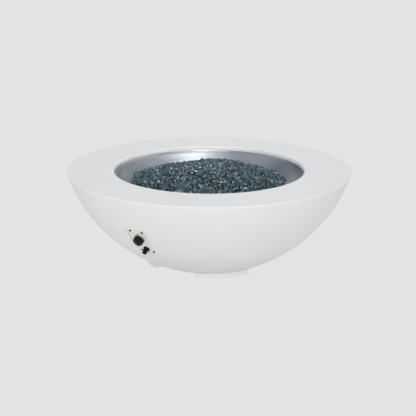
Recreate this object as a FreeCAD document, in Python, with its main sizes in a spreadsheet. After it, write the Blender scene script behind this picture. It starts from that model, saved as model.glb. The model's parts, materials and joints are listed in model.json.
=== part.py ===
import FreeCAD, Part
import math
import os
import Sketcher

# Gas fire pit bowl. Millimetres, +Z up. The origin lies on the ground under the
# bowl's centre; the side that shows the controls at front left faces -Y.

V = FreeCAD.Vector
doc = FreeCAD.newDocument("FirePitBowl")
sheet = doc.addObject("Spreadsheet::Sheet", "Spreadsheet")

# ---------------------------------------------------------------- dimensions
CELLS = [
    # bowl: a spherical cap with a flat rim
    ("rim_height", 361.0), ("sphere_radius", 562.0), ("centre_above_rim", 172.6),
    ("wall", 20.0), ("rim_slab", 24.0), ("rim_edge_round", 4.0),
    ("mouth_radius", 358.0), ("mouth_round", 7.0), ("ledge_drop", 22.5),
    ("ledge_width", 18.0), ("pan_slope", 18.0), ("lip_depth", 36.0),
    ("lip_width", 14.0), ("lip_flare", 12.0),
    ("under_z", 9.0), ("floor_thick", 22.0), ("service_radius", 95.0),
    # feet and pads
    ("foot_outer", 237.0), ("foot_inner", 178.0), ("foot_bottom", 1.0),
    ("foot_arc", 51.2), ("foot_front_at", 13.3), ("foot_left_at", -85.7),
    ("foot_rear_at", 143.8), ("bed_gap", 0.3), ("pad_radius", 12.0),
    ("pad_height", 4.0), ("pad_ring", 208.0), ("pad_spread", 17.0),
    # control panel position: azimuth from the front, angle up from straight down
    ("panel_azimuth", -32.5), ("panel_polar", 51.5), ("panel_sink", 7.0),
    ("plate_width", 83.0), ("plate_height", 136.0), ("plate_thick", 3.0),
    ("plate_corner", 6.0), ("recess_gap", 0.4),
    ("screw_half_x", 25.0), ("screw_half_y", 57.0), ("screw_head", 4.1),
    ("screw_head_tall", 3.0), ("screw_shank", 1.9), ("screw_long", 12.0),
    ("anchor_radius", 3.4), ("anchor_long", 10.0),
    ("knob_x", -2.2), ("knob_y", 17.0), ("igniter_x", -0.5), ("igniter_y", -44.0),
    ("valve_screw_x", 1.5), ("valve_screw_y", 18.0),
    # gas valve, spindle and knob
    ("stem_radius", 4.0), ("run_gap", 0.06), ("stem_top", 17.0), ("stem_end", 30.0),
    ("plug_radius", 8.0), ("plug_front", 12.0), ("plug_back", 34.0),
    ("valve_back", 38.0), ("knob_radius", 19.2), ("knob_back", 5.0),
    ("knob_front", 24.6), ("knob_wall", 2.2), ("knob_hub", 7.0),
    ("flare_radius", 7.94), ("inlet_hex", 9.5), ("outlet_x", -20.0),
    ("outlet_depth", 29.0),
    # igniter
    ("collar_radius", 12.2), ("collar_tall", 5.0), ("barrel_radius", 9.0),
    ("barrel_long", 70.0), ("button_radius", 8.2), ("button_gap", 0.08),
    ("button_front", 23.5), ("button_back", 9.0), ("cell_radius", 5.25),
    ("cell_long", 44.5),
    # pan
    ("pan_sheet", 1.5), ("collar_gap", 1.6), ("collar_lean", 2.4), ("collar_top", 14.0),
    ("hem", 1.1),
    ("gasket", 2.5), ("pan_floor", 282.0), ("hub_hole", 11.5), ("probe_hole", 4.6),
    ("drain_radius", 4.0), ("drain_ring", 165.0),
    # burner
    ("ring_radius", 140.0), ("tube_radius", 8.0), ("tube_wall", 1.2),
    ("ring_lift", 12.0), ("arm_radius", 6.0), ("hub_radius", 20.0),
    ("hub_tall", 24.0), ("nipple_radius", 10.5), ("nipple_low", 250.0),
    ("bore", 6.5), ("port_radius", 1.3), ("ports", 28.0),
    ("mixer_radius", 14.0), ("mixer_top", 268.0), ("mixer_low", 192.0),
    ("air_hole", 4.2), ("air_hole_z", 216.0), ("jet_low", 168.0),
    # pilot group
    ("pilot_ring", 95.0), ("probe_half", 9.0),
    ("hood_long", 64.0), ("hood_wide", 34.0), ("hood_tall", 48.0),
    # glass
    ("glass_top", 374.0), ("glass_contact", 289.0), ("glass_gap", 0.3),
    # leads
    ("hose_radius", 6.35), ("lead_radius", 2.5), ("capillary_radius", 1.5),
]


class Dim:
    """A size with its value and the expression that drives it."""

    def __init__(self, value, text):
        self.v = float(value)
        self.t = text

    def __add__(self, o):
        o = dim(o)
        return Dim(self.v + o.v, "(%s + %s)" % (self.t, o.t))

    def __radd__(self, o):
        return dim(o) + self

    def __sub__(self, o):
        o = dim(o)
        return Dim(self.v - o.v, "(%s - %s)" % (self.t, o.t))

    def __rsub__(self, o):
        return dim(o) - self

    def __mul__(self, o):
        o = dim(o)
        return Dim(self.v * o.v, "(%s * %s)" % (self.t, o.t))

    def __rmul__(self, o):
        return dim(o) * self

    def __truediv__(self, o):
        o = dim(o)
        return Dim(self.v / o.v, "(%s / %s)" % (self.t, o.t))

    def __rtruediv__(self, o):
        return dim(o) / self

    def __neg__(self):
        return Dim(-self.v, "(0 - %s)" % self.t)


def dim(x):
    if isinstance(x, Dim):
        return x
    return Dim(x, "(0 - %.6f)" % -x if x < 0 else "%.6f" % x)


def root(x):
    return Dim(math.sqrt(x.v), "sqrt(%s)" % x.t)


def trig(name, x):
    return Dim(getattr(math, name)(math.radians(x.v)), "%s(%s * 1 deg)" % (name, x.t))


class Sizes:
    pass


s = Sizes()
for row, (alias, value) in enumerate(CELLS, start=1):
    sheet.set("A%d" % row, alias.replace("_", " "))
    sheet.set("B%d" % row, "%g" % value)
    sheet.setAlias("B%d" % row, alias)
doc.recompute()
for alias, value in CELLS:
    setattr(s, alias, Dim(sheet.get(alias), "Spreadsheet.%s" % alias))

# ------------------------------------------------------------------- helpers
NODES = []


def keep(obj, label):
    obj.Label = label
    NODES.append(obj)
    return obj


def new_body(label, place=None):
    b = doc.addObject("PartDesign::Body", label + "_body")
    b.AllowCompound = True
    keep(b, label)
    if place is not None:
        set_place(b, *place)
    return b


def set_place(obj, x, y, z, yaw=0, roll=0):
    x, y, z, yaw, roll = dim(x), dim(y), dim(z), dim(yaw), dim(roll)
    obj.setExpression("Placement", "create(<<placement>>; create(<<vector>>; %s; %s; %s); "
                      "create(<<rotation>>; %s; 0; %s))" % (x.t, y.t, z.t, yaw.t, roll.t))


def sketch(body, role, name, offset=None):
    sk = body.newObject("Sketcher::SketchObject", name)
    plane = [o for o in body.Origin.OriginFeatures if o.Role == role][0]
    sk.AttachmentSupport = (plane, "")
    sk.MapMode = "FlatFace"
    if offset is not None:
        x, y, z, yaw, roll = [dim(q) for q in offset]
        sk.setExpression("AttachmentOffset", "create(<<placement>>; create(<<vector>>; %s; %s; %s); "
                         "create(<<rotation>>; %s; 0; %s))" % (x.t, y.t, z.t, yaw.t, roll.t))
    return sk


def bind(sk, constraint, expression):
    i = sk.addConstraint(constraint)
    sk.setExpression("Constraints[%d]" % i, expression)


def pin(sk, geo, pos, x, y):
    """Fix a sketch point at driven coordinates."""
    for kind, axis, q in (("DistanceX", -2, x), ("DistanceY", -1, y)):
        if abs(q.v) < 1e-9:
            sk.addConstraint(Sketcher.Constraint("PointOnObject", geo, pos, axis))
        else:
            bind(sk, Sketcher.Constraint(kind, -1, 1, geo, pos, q.v), q.t)


def outline(sk, points):
    """Closed outline. A point is (x, y) or (x, y, radius): the radius makes the
    edge to the next point an arc, bulging right of the way if it is positive."""
    pts = [(dim(p[0]), dim(p[1]), p[2] if len(p) > 2 else None) for p in points]
    n = len(pts)
    ids = []
    for i in range(n):
        x0, y0, r = pts[i]
        x1, y1, _ = pts[(i + 1) % n]
        a, b = V(x0.v, y0.v, 0), V(x1.v, y1.v, 0)
        if r is None:
            ids.append((sk.addGeometry(Part.LineSegment(a, b), False), 1, 2))
        else:
            r = dim(r)
            rad = abs(r.v)
            mid = (a + b) * 0.5
            d = b - a
            side = V(d.y, -d.x, 0)
            side.normalize()
            if r.v < 0:
                side = side * -1
            sag = rad - math.sqrt(max(rad * rad - d.Length ** 2 / 4, 0.0))
            arc = Part.Arc(a, mid + side * sag, b).toShape().Curve
            c = arc.Center
            a0 = math.atan2(a.y - c.y, a.x - c.x)
            b0 = math.atan2(b.y - c.y, b.x - c.x)
            ccw = ((b0 - a0) % (2 * math.pi)) < math.pi
            if not ccw:
                a0, b0 = b0, a0
            circle = Part.Circle(c, V(0, 0, 1), rad)
            g = sk.addGeometry(Part.ArcOfCircle(circle, a0, b0), False)
            ids.append((g, 1, 2) if ccw else (g, 2, 1))
            bind(sk, Sketcher.Constraint("Radius", g, rad), r.t if r.v > 0 else (-r).t)
    for i in range(n):
        g0, _, end = ids[i]
        g1, start, _ = ids[(i + 1) % n]
        sk.addConstraint(Sketcher.Constraint("Coincident", g0, end, g1, start))
    for i in range(n):
        pin(sk, ids[i][0], ids[i][1], pts[i][0], pts[i][1])
    return sk


def circle(sk, x, y, r):
    x, y, r = dim(x), dim(y), dim(r)
    g = sk.addGeometry(Part.Circle(V(x.v, y.v, 0), V(0, 0, 1), r.v), False)
    bind(sk, Sketcher.Constraint("Radius", g, r.v), r.t)
    pin(sk, g, 3, x, y)
    return g


def round_rect(sk, x0, y0, x1, y1, r):
    x0, y0, x1, y1, r = [dim(q) for q in (x0, y0, x1, y1, r)]
    outline(sk, [(x0 + r, y0), (x1 - r, y0, r), (x1, y0 + r), (x1, y1 - r, r),
                 (x1 - r, y1), (x0 + r, y1, r), (x0, y1 - r), (x0, y0 + r, r)])


def hexagon(sk, x, y, r):
    x, y, r = dim(x), dim(y), dim(r)
    outline(sk, [(x + r * math.cos(math.radians(60 * k)), y + r * math.sin(math.radians(60 * k)))
                 for k in range(6)])


def feature(body, kind, sk, **props):
    f = body.newObject("PartDesign::" + kind, kind)
    f.Profile = sk
    for k, q in props.items():
        if isinstance(q, Dim):
            f.setExpression(k, q.t)
        else:
            setattr(f, k, q)
    body.Tip = f
    return f


def pad(body, sk, length, back=False):
    return feature(body, "Pad", sk, Length=dim(length), Reversed=back)


def volume(body):
    doc.recompute()
    return body.Shape.Volume


def cut(body, kind, sk, **props):
    """A pocket or groove that must remove material."""
    before = volume(body)
    f = feature(body, kind, sk, **props)
    if before - volume(body) < 1e-3:
        raise RuntimeError("nothing cut from " + body.Label)
    return f


def pocket(body, sk, length, up=False):
    """Cut below the sketch plane, or above it where up is true."""
    return cut(body, "Pocket", sk, Length=dim(length), Reversed=up)


def pocket_both(body, sk, length):
    return cut(body, "Pocket", sk, Length=dim(length), SideType="Symmetric")


def revolve(body, sk, angle=360):
    return feature(body, "Revolution", sk, ReferenceAxis=(sk, ["V_Axis"]), Angle=dim(angle))


def groove(body, sk):
    return cut(body, "Groove", sk, ReferenceAxis=(sk, ["V_Axis"]), Angle=dim(360))


def polar(body, feats, count, axis="Z_Axis"):
    doc.recompute()
    f = body.newObject("PartDesign::PolarPattern", "PolarPattern")
    f.Originals = feats
    f.Axis = ([o for o in body.Origin.OriginFeatures if o.Role == axis][0], [""])
    f.Angle = 360
    count = dim(count)
    f.setExpression("Occurrences", count.t)
    body.Tip = f
    return f


def edges(feat, test):
    doc.recompute()
    names = []
    for i, e in enumerate(feat.Shape.Edges, start=1):
        if test(e):
            names.append("Edge%d" % i)
    if not names:
        raise RuntimeError("no edge found on " + feat.Name)
    return names


def ring_edge(z, r, tol=0.02):
    """Picks circular edges about the vertical axis at height z with radius r."""
    z, r = dim(z).v, dim(r).v

    def test(e):
        c = e.Curve
        return (hasattr(c, "Radius") and abs(c.Radius - r) < tol and
                abs(c.Center.z - z) < tol and math.hypot(c.Center.x, c.Center.y) < tol)
    return test


def small_ring(z, r, tol=0.02):
    z, r = dim(z).v, dim(r).v

    def test(e):
        c = e.Curve
        return hasattr(c, "Radius") and abs(c.Radius - r) < tol and abs(c.Center.z - z) < tol
    return test


def fillet(body, names, radius):
    prev = body.Tip
    f = body.newObject("PartDesign::Fillet", "Fillet")
    f.Base = (prev, names)
    f.setExpression("Radius", dim(radius).t)
    body.Tip = f
    return f


def chamfer(body, names, size):
    prev = body.Tip
    f = body.newObject("PartDesign::Chamfer", "Chamfer")
    f.Base = (prev, names)
    f.setExpression("Size", dim(size).t)
    body.Tip = f
    return f


# ------------------------------------------------------------- control frame
# Right hand x, up the meridian y, outward normal z. Its origin is the middle of
# the plate's front face.
centre_z = s.rim_height + s.centre_above_rim
az, po = s.panel_azimuth, s.panel_polar
sa, ca, sp, cp = trig("sin", az), trig("cos", az), trig("sin", po), trig("cos", po)
ex = (ca, sa, dim(0))
ey = (sa * cp, -(ca * cp), sp)
en = (sa * sp, -(ca * sp), -cp)
face_r = s.sphere_radius - s.panel_sink


def on_panel(x, y, z):
    x, y, z = dim(x), dim(y), dim(z)
    out = [x * ex[i] + y * ey[i] + (z + face_r) * en[i] for i in range(3)]
    out[2] = out[2] + centre_z
    return out


def panel_place(x=0, y=0, z=0):
    p = on_panel(x, y, z)
    return (p[0], p[1], p[2], az, 180 - po)


def sphere_r(radius, z):
    """Radius of a horizontal section of the bowl's sphere at height z."""
    return root(radius * radius - (centre_z - z) * (centre_z - z))


def sphere_z(radius, r):
    return centre_z - root(radius * radius - r * r)


slope = trig("tan", s.pan_slope)

# ---------------------------------------------------------------- bowl shell
# One cast piece: spherical wall, flat rim slab, thick lip with a sloping ledge
# for the pan, and a floor with a round service hole.
inner_r = s.sphere_radius - s.wall
ledge_z = s.rim_height - s.ledge_drop
lip_z = s.rim_height - s.lip_depth
slab_z = s.rim_height - s.rim_slab
floor_z = s.under_z + s.floor_thick
ledge_r = s.mouth_radius - s.ledge_width
rim_r = sphere_r(s.sphere_radius, s.rim_height)

bowl = new_body("bowl_shell")
sk = sketch(bowl, "XZ_Plane", "bowl_section")
outline(sk, [
    (s.service_radius, s.under_z),
    (sphere_r(s.sphere_radius, s.under_z), s.under_z, s.sphere_radius),
    (rim_r, s.rim_height),
    (s.mouth_radius, s.rim_height),
    (s.mouth_radius, ledge_z),
    (ledge_r, ledge_z - s.ledge_width * slope),
    (ledge_r, lip_z),
    (ledge_r + s.lip_width + s.ledge_width, lip_z),
    (ledge_r + s.lip_width + s.ledge_width + s.lip_flare, slab_z),
    (sphere_r(inner_r, slab_z), slab_z, -inner_r),
    (sphere_r(inner_r, floor_z), floor_z),
    (s.service_radius, floor_z),
])
revolve(bowl, sk)
fillet(bowl, edges(bowl.Tip, ring_edge(s.rim_height, rim_r)), s.rim_edge_round)
fillet(bowl, edges(bowl.Tip, ring_edge(s.rim_height, s.mouth_radius)), s.mouth_round)
fillet(bowl, edges(bowl.Tip, ring_edge(slab_z, sphere_r(inner_r, slab_z))), 14)
fillet(bowl, edges(bowl.Tip, ring_edge(floor_z, sphere_r(inner_r, floor_z))), 25)
chamfer(bowl, edges(bowl.Tip, ring_edge(s.under_z, s.service_radius)), 3)


def bowl_sketch(name, depth):
    p = on_panel(0, 0, depth)
    return sketch(bowl, "XY_Plane", name, (p[0], p[1], p[2], az, 180 - po))


# the recess for the plate, the hole behind it and the blind anchor holes
half_w = s.plate_width / 2 + s.recess_gap
half_h = s.plate_height / 2 + s.recess_gap
sk = bowl_sketch("plate_recess", -s.plate_thick)
round_rect(sk, -half_w, -half_h, half_w, half_h, s.plate_corner + s.recess_gap)
pocket(bowl, sk, 30, up=True)
sk = bowl_sketch("valve_opening", -s.plate_thick)
round_rect(sk, -30, -40, 30, 44, 6)
pocket(bowl, sk, 45)
sk = bowl_sketch("igniter_opening", -s.plate_thick)
circle(sk, s.igniter_x, s.igniter_y, 16)
pocket(bowl, sk, 45)
sk = bowl_sketch("anchor_holes", -s.plate_thick)
for i in (-1, 1):
    for k in (-1, 1):
        circle(sk, s.screw_half_x * i, s.screw_half_y * k, s.anchor_radius + 0.1)
pocket(bowl, sk, s.anchor_long + 0.5)

# --------------------------------------------------------------------- feet
# Ring segments of the same cast material, bedded against the flat underside
# and the start of the sphere.
bed_r = s.sphere_radius + s.bed_gap
bed_z = s.under_z - s.bed_gap


def foot(label, at):
    b = new_body(label, (0, 0, 0, at, 0))
    sk = sketch(b, "XZ_Plane", label + "_section")
    # the section stands on -X, so that the segment straddles -Y after the turn
    outline(sk, [
        (s.foot_inner, s.foot_bottom),
        (s.foot_outer, s.foot_bottom),
        (s.foot_outer, sphere_z(bed_r, s.foot_outer), -bed_r),
        (sphere_r(bed_r, bed_z), bed_z),
        (s.foot_inner, bed_z),
    ])
    revolve(b, sk, s.foot_arc)
    fillet(b, edges(b.Tip, upright(s.foot_outer)), 2)
    sk = sketch(b, "XY_Plane", label + "_pad_seats")
    for k in (-1, 1):
        a = s.foot_arc / 2 + s.pad_spread * k
        circle(sk, s.pad_ring * trig("cos", a), s.pad_ring * trig("sin", a), s.pad_radius + 0.2)
    pocket(b, sk, s.pad_height, up=True)
    return b


def upright(r):
    r = dim(r).v

    def test(e):
        if len(e.Vertexes) != 2 or hasattr(e.Curve, "Radius"):
            return False
        a, b = e.Vertexes[0].Point, e.Vertexes[1].Point
        return (abs(a.x - b.x) < 0.01 and abs(a.y - b.y) < 0.01 and
                abs(math.hypot(a.x, a.y) - r) < 0.01)
    return test


# a segment starts on +X and runs anticlockwise: turned back by half its arc and
# by a quarter turn, its middle faces -Y at azimuth 0
for label, at in (("foot_front", s.foot_front_at), ("foot_left", s.foot_left_at),
                  ("foot_rear", s.foot_rear_at)):
    foot(label, at - 90 - s.foot_arc / 2)

pads = new_body("foot_pads")
sk = sketch(pads, "XY_Plane", "pad_circles")
for at in (s.foot_front_at, s.foot_left_at, s.foot_rear_at):
    for k in (-1, 1):
        a = at - 90 + s.pad_spread * k
        circle(sk, s.pad_ring * trig("cos", a), s.pad_ring * trig("sin", a), s.pad_radius)
pad(pads, sk, s.pad_height)
chamfer(pads, edges(pads.Tip, small_ring(0, s.pad_radius)), 0.5)

# ------------------------------------------------------------- control plate
plate = new_body("control_plate", panel_place())
sk = sketch(plate, "XY_Plane", "plate_outline")
round_rect(sk, s.plate_width / -2, s.plate_height / -2, s.plate_width / 2, s.plate_height / 2,
           s.plate_corner)
circle(sk, s.knob_x, s.knob_y, 6)
circle(sk, s.igniter_x, s.igniter_y, s.barrel_radius + 0.2)
for i in (-1, 1):
    for k in (-1, 1):
        circle(sk, s.screw_half_x * i, s.screw_half_y * k, 2.3)
    circle(sk, s.knob_x - s.valve_screw_x * i, s.knob_y + s.valve_screw_y * i, 2.3)
pad(plate, sk, s.plate_thick, back=True)
# countersinks for the two valve screws
for i in (-1, 1):
    sk = sketch(plate, "YZ_Plane", "countersink", (0, 0, s.knob_x - s.valve_screw_x * i, 0, 0))
    y0 = s.knob_y + s.valve_screw_y * i
    outline(sk, [(y0, 0.2), (y0 + 4.3, 0.2), (y0 + 2.0, -2.1), (y0, -2.1)])
    line = sk.addGeometry(Part.LineSegment(V(y0.v, -5, 0), V(y0.v, 5, 0)), True)
    sk.addConstraint(Sketcher.Constraint("Vertical", line))
    bind(sk, Sketcher.Constraint("DistanceX", -1, 1, line, 1, y0.v), y0.t)
    cut(plate, "Groove", sk, ReferenceAxis=(sk, ["Axis0"]), Angle=dim(360))

screws = new_body("plate_screws", panel_place())
for part_ in ("heads", "shanks", "sockets"):
    sk = sketch(screws, "XY_Plane", "screw_" + part_,
                (0, 0, s.screw_head_tall if part_ == "sockets" else 0, 0, 0))
    for i in (-1, 1):
        for k in (-1, 1):
            x, y = s.screw_half_x * i, s.screw_half_y * k
            if part_ == "heads":
                circle(sk, x, y, s.screw_head)
            elif part_ == "shanks":
                circle(sk, x, y, s.screw_shank)
            else:
                hexagon(sk, x, y, 1.45)
    if part_ == "heads":
        pad(screws, sk, s.screw_head_tall)
        fillet(screws, edges(screws.Tip, small_ring(s.screw_head_tall, s.screw_head)), 1.3)
    elif part_ == "shanks":
        pad(screws, sk, s.screw_long, back=True)
    else:
        pocket(screws, sk, 1.5)

anchors = new_body("plate_anchors", panel_place(0, 0, -s.plate_thick))
sk = sketch(anchors, "XY_Plane", "anchor_rings")
for i in (-1, 1):
    for k in (-1, 1):
        circle(sk, s.screw_half_x * i, s.screw_half_y * k, s.anchor_radius)
        circle(sk, s.screw_half_x * i, s.screw_half_y * k, s.screw_shank + 0.02)
pad(anchors, sk, s.anchor_long, back=True)

# ---------------------------------------------------------------- gas valve
# Brass body behind the plate, stepped bore for the turning plug, a side lobe
# with the outlet flare, and the housing of the flame-failure magnet.
valve_at = panel_place(s.knob_x, s.knob_y, 0)
valve = new_body("gas_valve", valve_at)
sk = sketch(valve, "XY_Plane", "valve_block", (0, 0, -s.plate_thick, 0, 0))
round_rect(sk, -14, -21, 14, 21, 4)
pad(valve, sk, s.valve_back - s.plate_thick, back=True)
sk = sketch(valve, "XY_Plane", "front_boss", (0, 0, -s.plate_thick, 0, 0))
circle(sk, 0, 0, 5.8)
pad(valve, sk, s.plate_thick - 0.4)
sk = sketch(valve, "XY_Plane", "outlet_lobe", (0, 0, -18, 0, 0))
round_rect(sk, -31, -23, -10, -3, 4)
pad(valve, sk, 22, back=True)
sk = sketch(valve, "XZ_Plane", "outlet_flare", (0, 0, 23, 0, 0))
circle(sk, s.outlet_x, -s.outlet_depth, 7)
pad(valve, sk, 14)
sk = sketch(valve, "YZ_Plane", "magnet_housing", (0, 0, -14, 0, 0))
circle(sk, 9, -26, 8)
pad(valve, sk, 18, back=True)
sk = sketch(valve, "XY_Plane", "stem_bore")
circle(sk, 0, 0, s.stem_radius + s.run_gap)
pocket(valve, sk, s.plug_front)
sk = sketch(valve, "XY_Plane", "plug_bore", (0, 0, 0.5 - s.plug_front, 0, 0))
circle(sk, 0, 0, s.plug_radius + s.run_gap)
pocket(valve, sk, 30)
sk = sketch(valve, "XZ_Plane", "outlet_bore", (0, 0, 40, 0, 0))
circle(sk, s.outlet_x, -s.outlet_depth, 4)
pocket(valve, sk, 36)
sk = sketch(valve, "YZ_Plane", "cross_bore", (0, 0, -22, 0, 0))
circle(sk, -6, -s.outlet_depth, 2.5)
pocket(valve, sk, 18, up=True)
sk = sketch(valve, "XY_Plane", "valve_screw_holes", (0, 0, 0, 0, 0))
for i in (-1, 1):
    circle(sk, s.valve_screw_x * -i, s.valve_screw_y * i, s.screw_shank + 0.02)
pocket(valve, sk, 14)

vscrews = new_body("valve_screws", valve_at)
for i in (-1, 1):
    sk = sketch(vscrews, "YZ_Plane", "valve_screw", (0, 0, s.valve_screw_x * -i, 0, 0))
    y0 = s.valve_screw_y * i
    outline(sk, [(y0, -0.05), (y0 + 3.9, -0.05), (y0 + 1.9, -2.05), (y0 + s.screw_shank, -12),
                 (y0, -12)])
    line = sk.addGeometry(Part.LineSegment(V(y0.v, -15, 0), V(y0.v, 5, 0)), True)
    sk.addConstraint(Sketcher.Constraint("Vertical", line))
    bind(sk, Sketcher.Constraint("DistanceX", -1, 1, line, 1, y0.v), y0.t)
    feature(vscrews, "Revolution", sk, ReferenceAxis=(sk, ["Axis0"]), Angle=dim(360))
sk = sketch(vscrews, "XY_Plane", "valve_screw_slots")
for i in (-1, 1):
    hexagon(sk, s.valve_screw_x * -i, s.valve_screw_y * i, 1.3)
pocket(vscrews, sk, 1.4)

plug = new_body("valve_plug", valve_at)
sk = sketch(plug, "XZ_Plane", "plug_section")
outline(sk, [(s.stem_radius + s.run_gap, -s.plug_back), (s.plug_radius, -s.plug_back),
             (s.plug_radius, -s.plug_front), (s.stem_radius + s.run_gap, -s.plug_front)])
revolve(plug, sk)
sk = sketch(plug, "YZ_Plane", "plug_port")
circle(sk, 0, -s.outlet_depth, 2.5)
pocket(plug, sk, 20)

stem = new_body("valve_stem", valve_at)
sk = sketch(stem, "XY_Plane", "stem_round", (0, 0, -s.stem_end, 0, 0))
circle(sk, 0, 0, s.stem_radius)
pad(stem, sk, s.stem_end + s.stem_top)
sk = sketch(stem, "XY_Plane", "stem_flat", (0, 0, 6, 0, 0))
outline(sk, [(-6, 2.8), (6, 2.8), (6, 6), (-6, 6)])
pocket(stem, sk, 20, up=True)
chamfer(stem, edges(stem.Tip, small_ring(-s.stem_end, s.stem_radius)), 0.6)

# Hollow moulded knob: skirt, dished face, hub with a D-shaped bore, a grip bar
# across the face and shallow flutes round the side.
knob = new_body("control_knob", valve_at)
sk = sketch(knob, "XZ_Plane", "knob_section")
kr, kb, kf, kw, kh = s.knob_radius, s.knob_back, s.knob_front, s.knob_wall, s.knob_hub
outline(sk, [
    (0, kb + 1.2), (kh, kb + 1.2), (kh, kf - 6.2), (kr - kw - 0.6, kf - 6.2),
    (kr - kw, kb), (kr, kb), (kr, kb + 1.5), (kr - 1.6, kf - 4.6), (kr - 4.2, kf - 2.6, -60),
    (0, kf - 3.2),
])
revolve(knob, sk)
sk = sketch(knob, "XY_Plane", "grip_bar", (0, 0, kf - 5, 0, 0))
grip = kr - 4.8
round_rect(sk, -3.6, grip * -1, 3.6, grip, 3.2)
pad(knob, sk, 5)
sk = sketch(knob, "XY_Plane", "knob_bore")
circle(sk, 0, 0, s.stem_radius + 0.02)
pocket(knob, sk, s.stem_top + 0.3, up=True)
key_low = kb + 2.4
sk = sketch(knob, "XY_Plane", "knob_key", (0, 0, key_low, 0, 0))
outline(sk, [(-3.3, 2.85), (3.3, 2.85), (3.3, 4.6), (-3.3, 4.6)])
pad(knob, sk, s.stem_top + 0.3 - key_low)
sk = sketch(knob, "XY_Plane", "knob_flute", (0, 0, kb + 4, 0, 0))
circle(sk, kr + 2.0, 0, 2.9)
pocket(knob, sk, 20, up=True)
polar(knob, [knob.Tip], 20)

# --------------------------------------------------------------- gas inlet
# Flare fitting at the back of the valve, where a supply hose goes on.
inlet = new_body("gas_inlet", valve_at)
sk = sketch(inlet, "XZ_Plane", "inlet_section")
vb = s.valve_back
outline(sk, [(3.5, -vb + 3.5), (3.5, -vb - 25), (5.5, -vb - 25), (s.flare_radius, -vb - 22),
             (s.flare_radius, -vb), (7.9, -vb), (7.9, -vb + 3.5)])
revolve(inlet, sk)
sk = sketch(inlet, "XY_Plane", "inlet_hex", (0, 0, -vb, 0, 0))
hexagon(sk, 0, 0, s.inlet_hex / 0.8660254)
circle(sk, 0, 0, s.flare_radius - 1)
pad(inlet, sk, 8, back=True)

# ----------------------------------------------------------------- igniter
ign_at = panel_place(s.igniter_x, s.igniter_y, 0)
housing = new_body("igniter_body", ign_at)
sk = sketch(housing, "XZ_Plane", "igniter_section")
cr, br, bl = s.collar_radius, s.barrel_radius, s.barrel_long
guide = s.button_radius + s.button_gap
outline(sk, [
    (0, -bl), (br - 1, -bl), (br, -bl + 1), (br, 0), (cr, 0), (cr, s.collar_tall - 1.6),
    (cr - 1.6, s.collar_tall), (guide, s.collar_tall), (guide, -s.button_back - 5),
    (s.cell_radius + 0.4, -s.button_back - 5), (s.cell_radius + 0.4, -bl + 4), (0, -bl + 4),
])
revolve(housing, sk)

button = new_body("igniter_button", ign_at)
sk = sketch(button, "XZ_Plane", "button_section")
bf, bb, bu = s.button_front, s.button_back, s.button_radius
# the end is a spherical cap, 0.5 tall, with its centre on the axis
cap_r = bu - 2.2
outline(sk, [(0, -bb), (bu, -bb), (bu, bf - 2.4, 2.8), (cap_r, bf - 0.5, cap_r * cap_r + 0.25),
             (0, bf)])
revolve(button, sk)

cell = new_body("igniter_battery", ign_at)
sk = sketch(cell, "XZ_Plane", "cell_section")
top = -s.button_back - 11
outline(sk, [(0, top - s.cell_long), (s.cell_radius, top - s.cell_long), (s.cell_radius, top - 1),
             (1.9, top - 1), (1.9, top), (0, top)])
revolve(cell, sk)

nut = new_body("igniter_nut", ign_at)
sk = sketch(nut, "XY_Plane", "igniter_nut", (0, 0, -s.plate_thick - 0.05, 0, 0))
hexagon(sk, 0, 0, 14)
circle(sk, 0, 0, br + 0.05)
pad(nut, sk, 6, back=True)

terminal = new_body("igniter_terminal", ign_at)
sk = sketch(terminal, "XY_Plane", "terminal", (0, 0, -bl - 0.02, 0, 0))
circle(sk, 0, 0, 3)
pad(terminal, sk, 6, back=True)

# --------------------------------------------------------------------- pan
cos_s = trig("cos", s.pan_slope)
rise = s.gasket / cos_s
thick = s.pan_sheet / cos_s


def ledge_at(r):
    return ledge_z - (s.mouth_radius - r) * slope


def cone_out(r):
    return ledge_at(r) + rise


def cone_in(r):
    return cone_out(r) + thick


seal = new_body("pan_gasket")
sk = sketch(seal, "XZ_Plane", "gasket_section")
g0, g1 = ledge_r + 2, s.mouth_radius - s.collar_gap - s.collar_lean - 2
outline(sk, [(g0, ledge_at(g0) + 0.05), (g1, ledge_at(g1) + 0.05),
             (g1, ledge_at(g1) + rise - 0.05), (g0, ledge_at(g0) + rise - 0.05)])
revolve(seal, sk)

pan = new_body("burner_pan")
co = s.mouth_radius - s.collar_gap
ci = co - s.pan_sheet
zt = s.rim_height - s.collar_top
floor_in = s.pan_floor + s.pan_sheet
rf_out = s.mouth_radius - (ledge_z + rise - s.pan_floor) / slope
rf_in = s.mouth_radius - (ledge_z + rise + thick - floor_in) / slope
# the collar leans outwards and ends in a small hem
low_o, low_i = co - s.collar_lean, ci - s.collar_lean
sk = sketch(pan, "XZ_Plane", "pan_section")
outline(sk, [
    (s.hub_hole, s.pan_floor), (rf_out, s.pan_floor), (low_o, cone_out(low_o)), (co, zt - 3.4),
    (co + s.hem, zt - 2.4), (co + s.hem, zt - 0.9), (co + s.hem - 0.9, zt),
    (ci + 0.6, zt), (ci, zt - 0.6), (low_i, cone_in(low_i)), (rf_in, floor_in),
    (s.hub_hole, floor_in),
])
revolve(pan, sk)
fillet(pan, edges(pan.Tip, ring_edge(cone_in(low_i), low_i)), 6)
fillet(pan, edges(pan.Tip, ring_edge(cone_out(low_o), low_o)), 7.5)
pilot_x, pilot_y = s.pilot_ring * sa, -(s.pilot_ring * ca)
sk = sketch(pan, "XY_Plane", "probe_holes", (pilot_x, pilot_y, s.pan_floor - 1, az, 0))
circle(sk, s.probe_half, 0, s.probe_hole)
circle(sk, -s.probe_half, 0, s.probe_hole)
pocket(pan, sk, 5, up=True)
sk = sketch(pan, "XY_Plane", "drain_hole", (0, 0, s.pan_floor - 1, 0, 0))
circle(sk, s.drain_ring * 0.70710678, s.drain_ring * 0.70710678, s.drain_radius)
pocket(pan, sk, 5, up=True)
polar(pan, [pan.Tip], 4)

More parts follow.
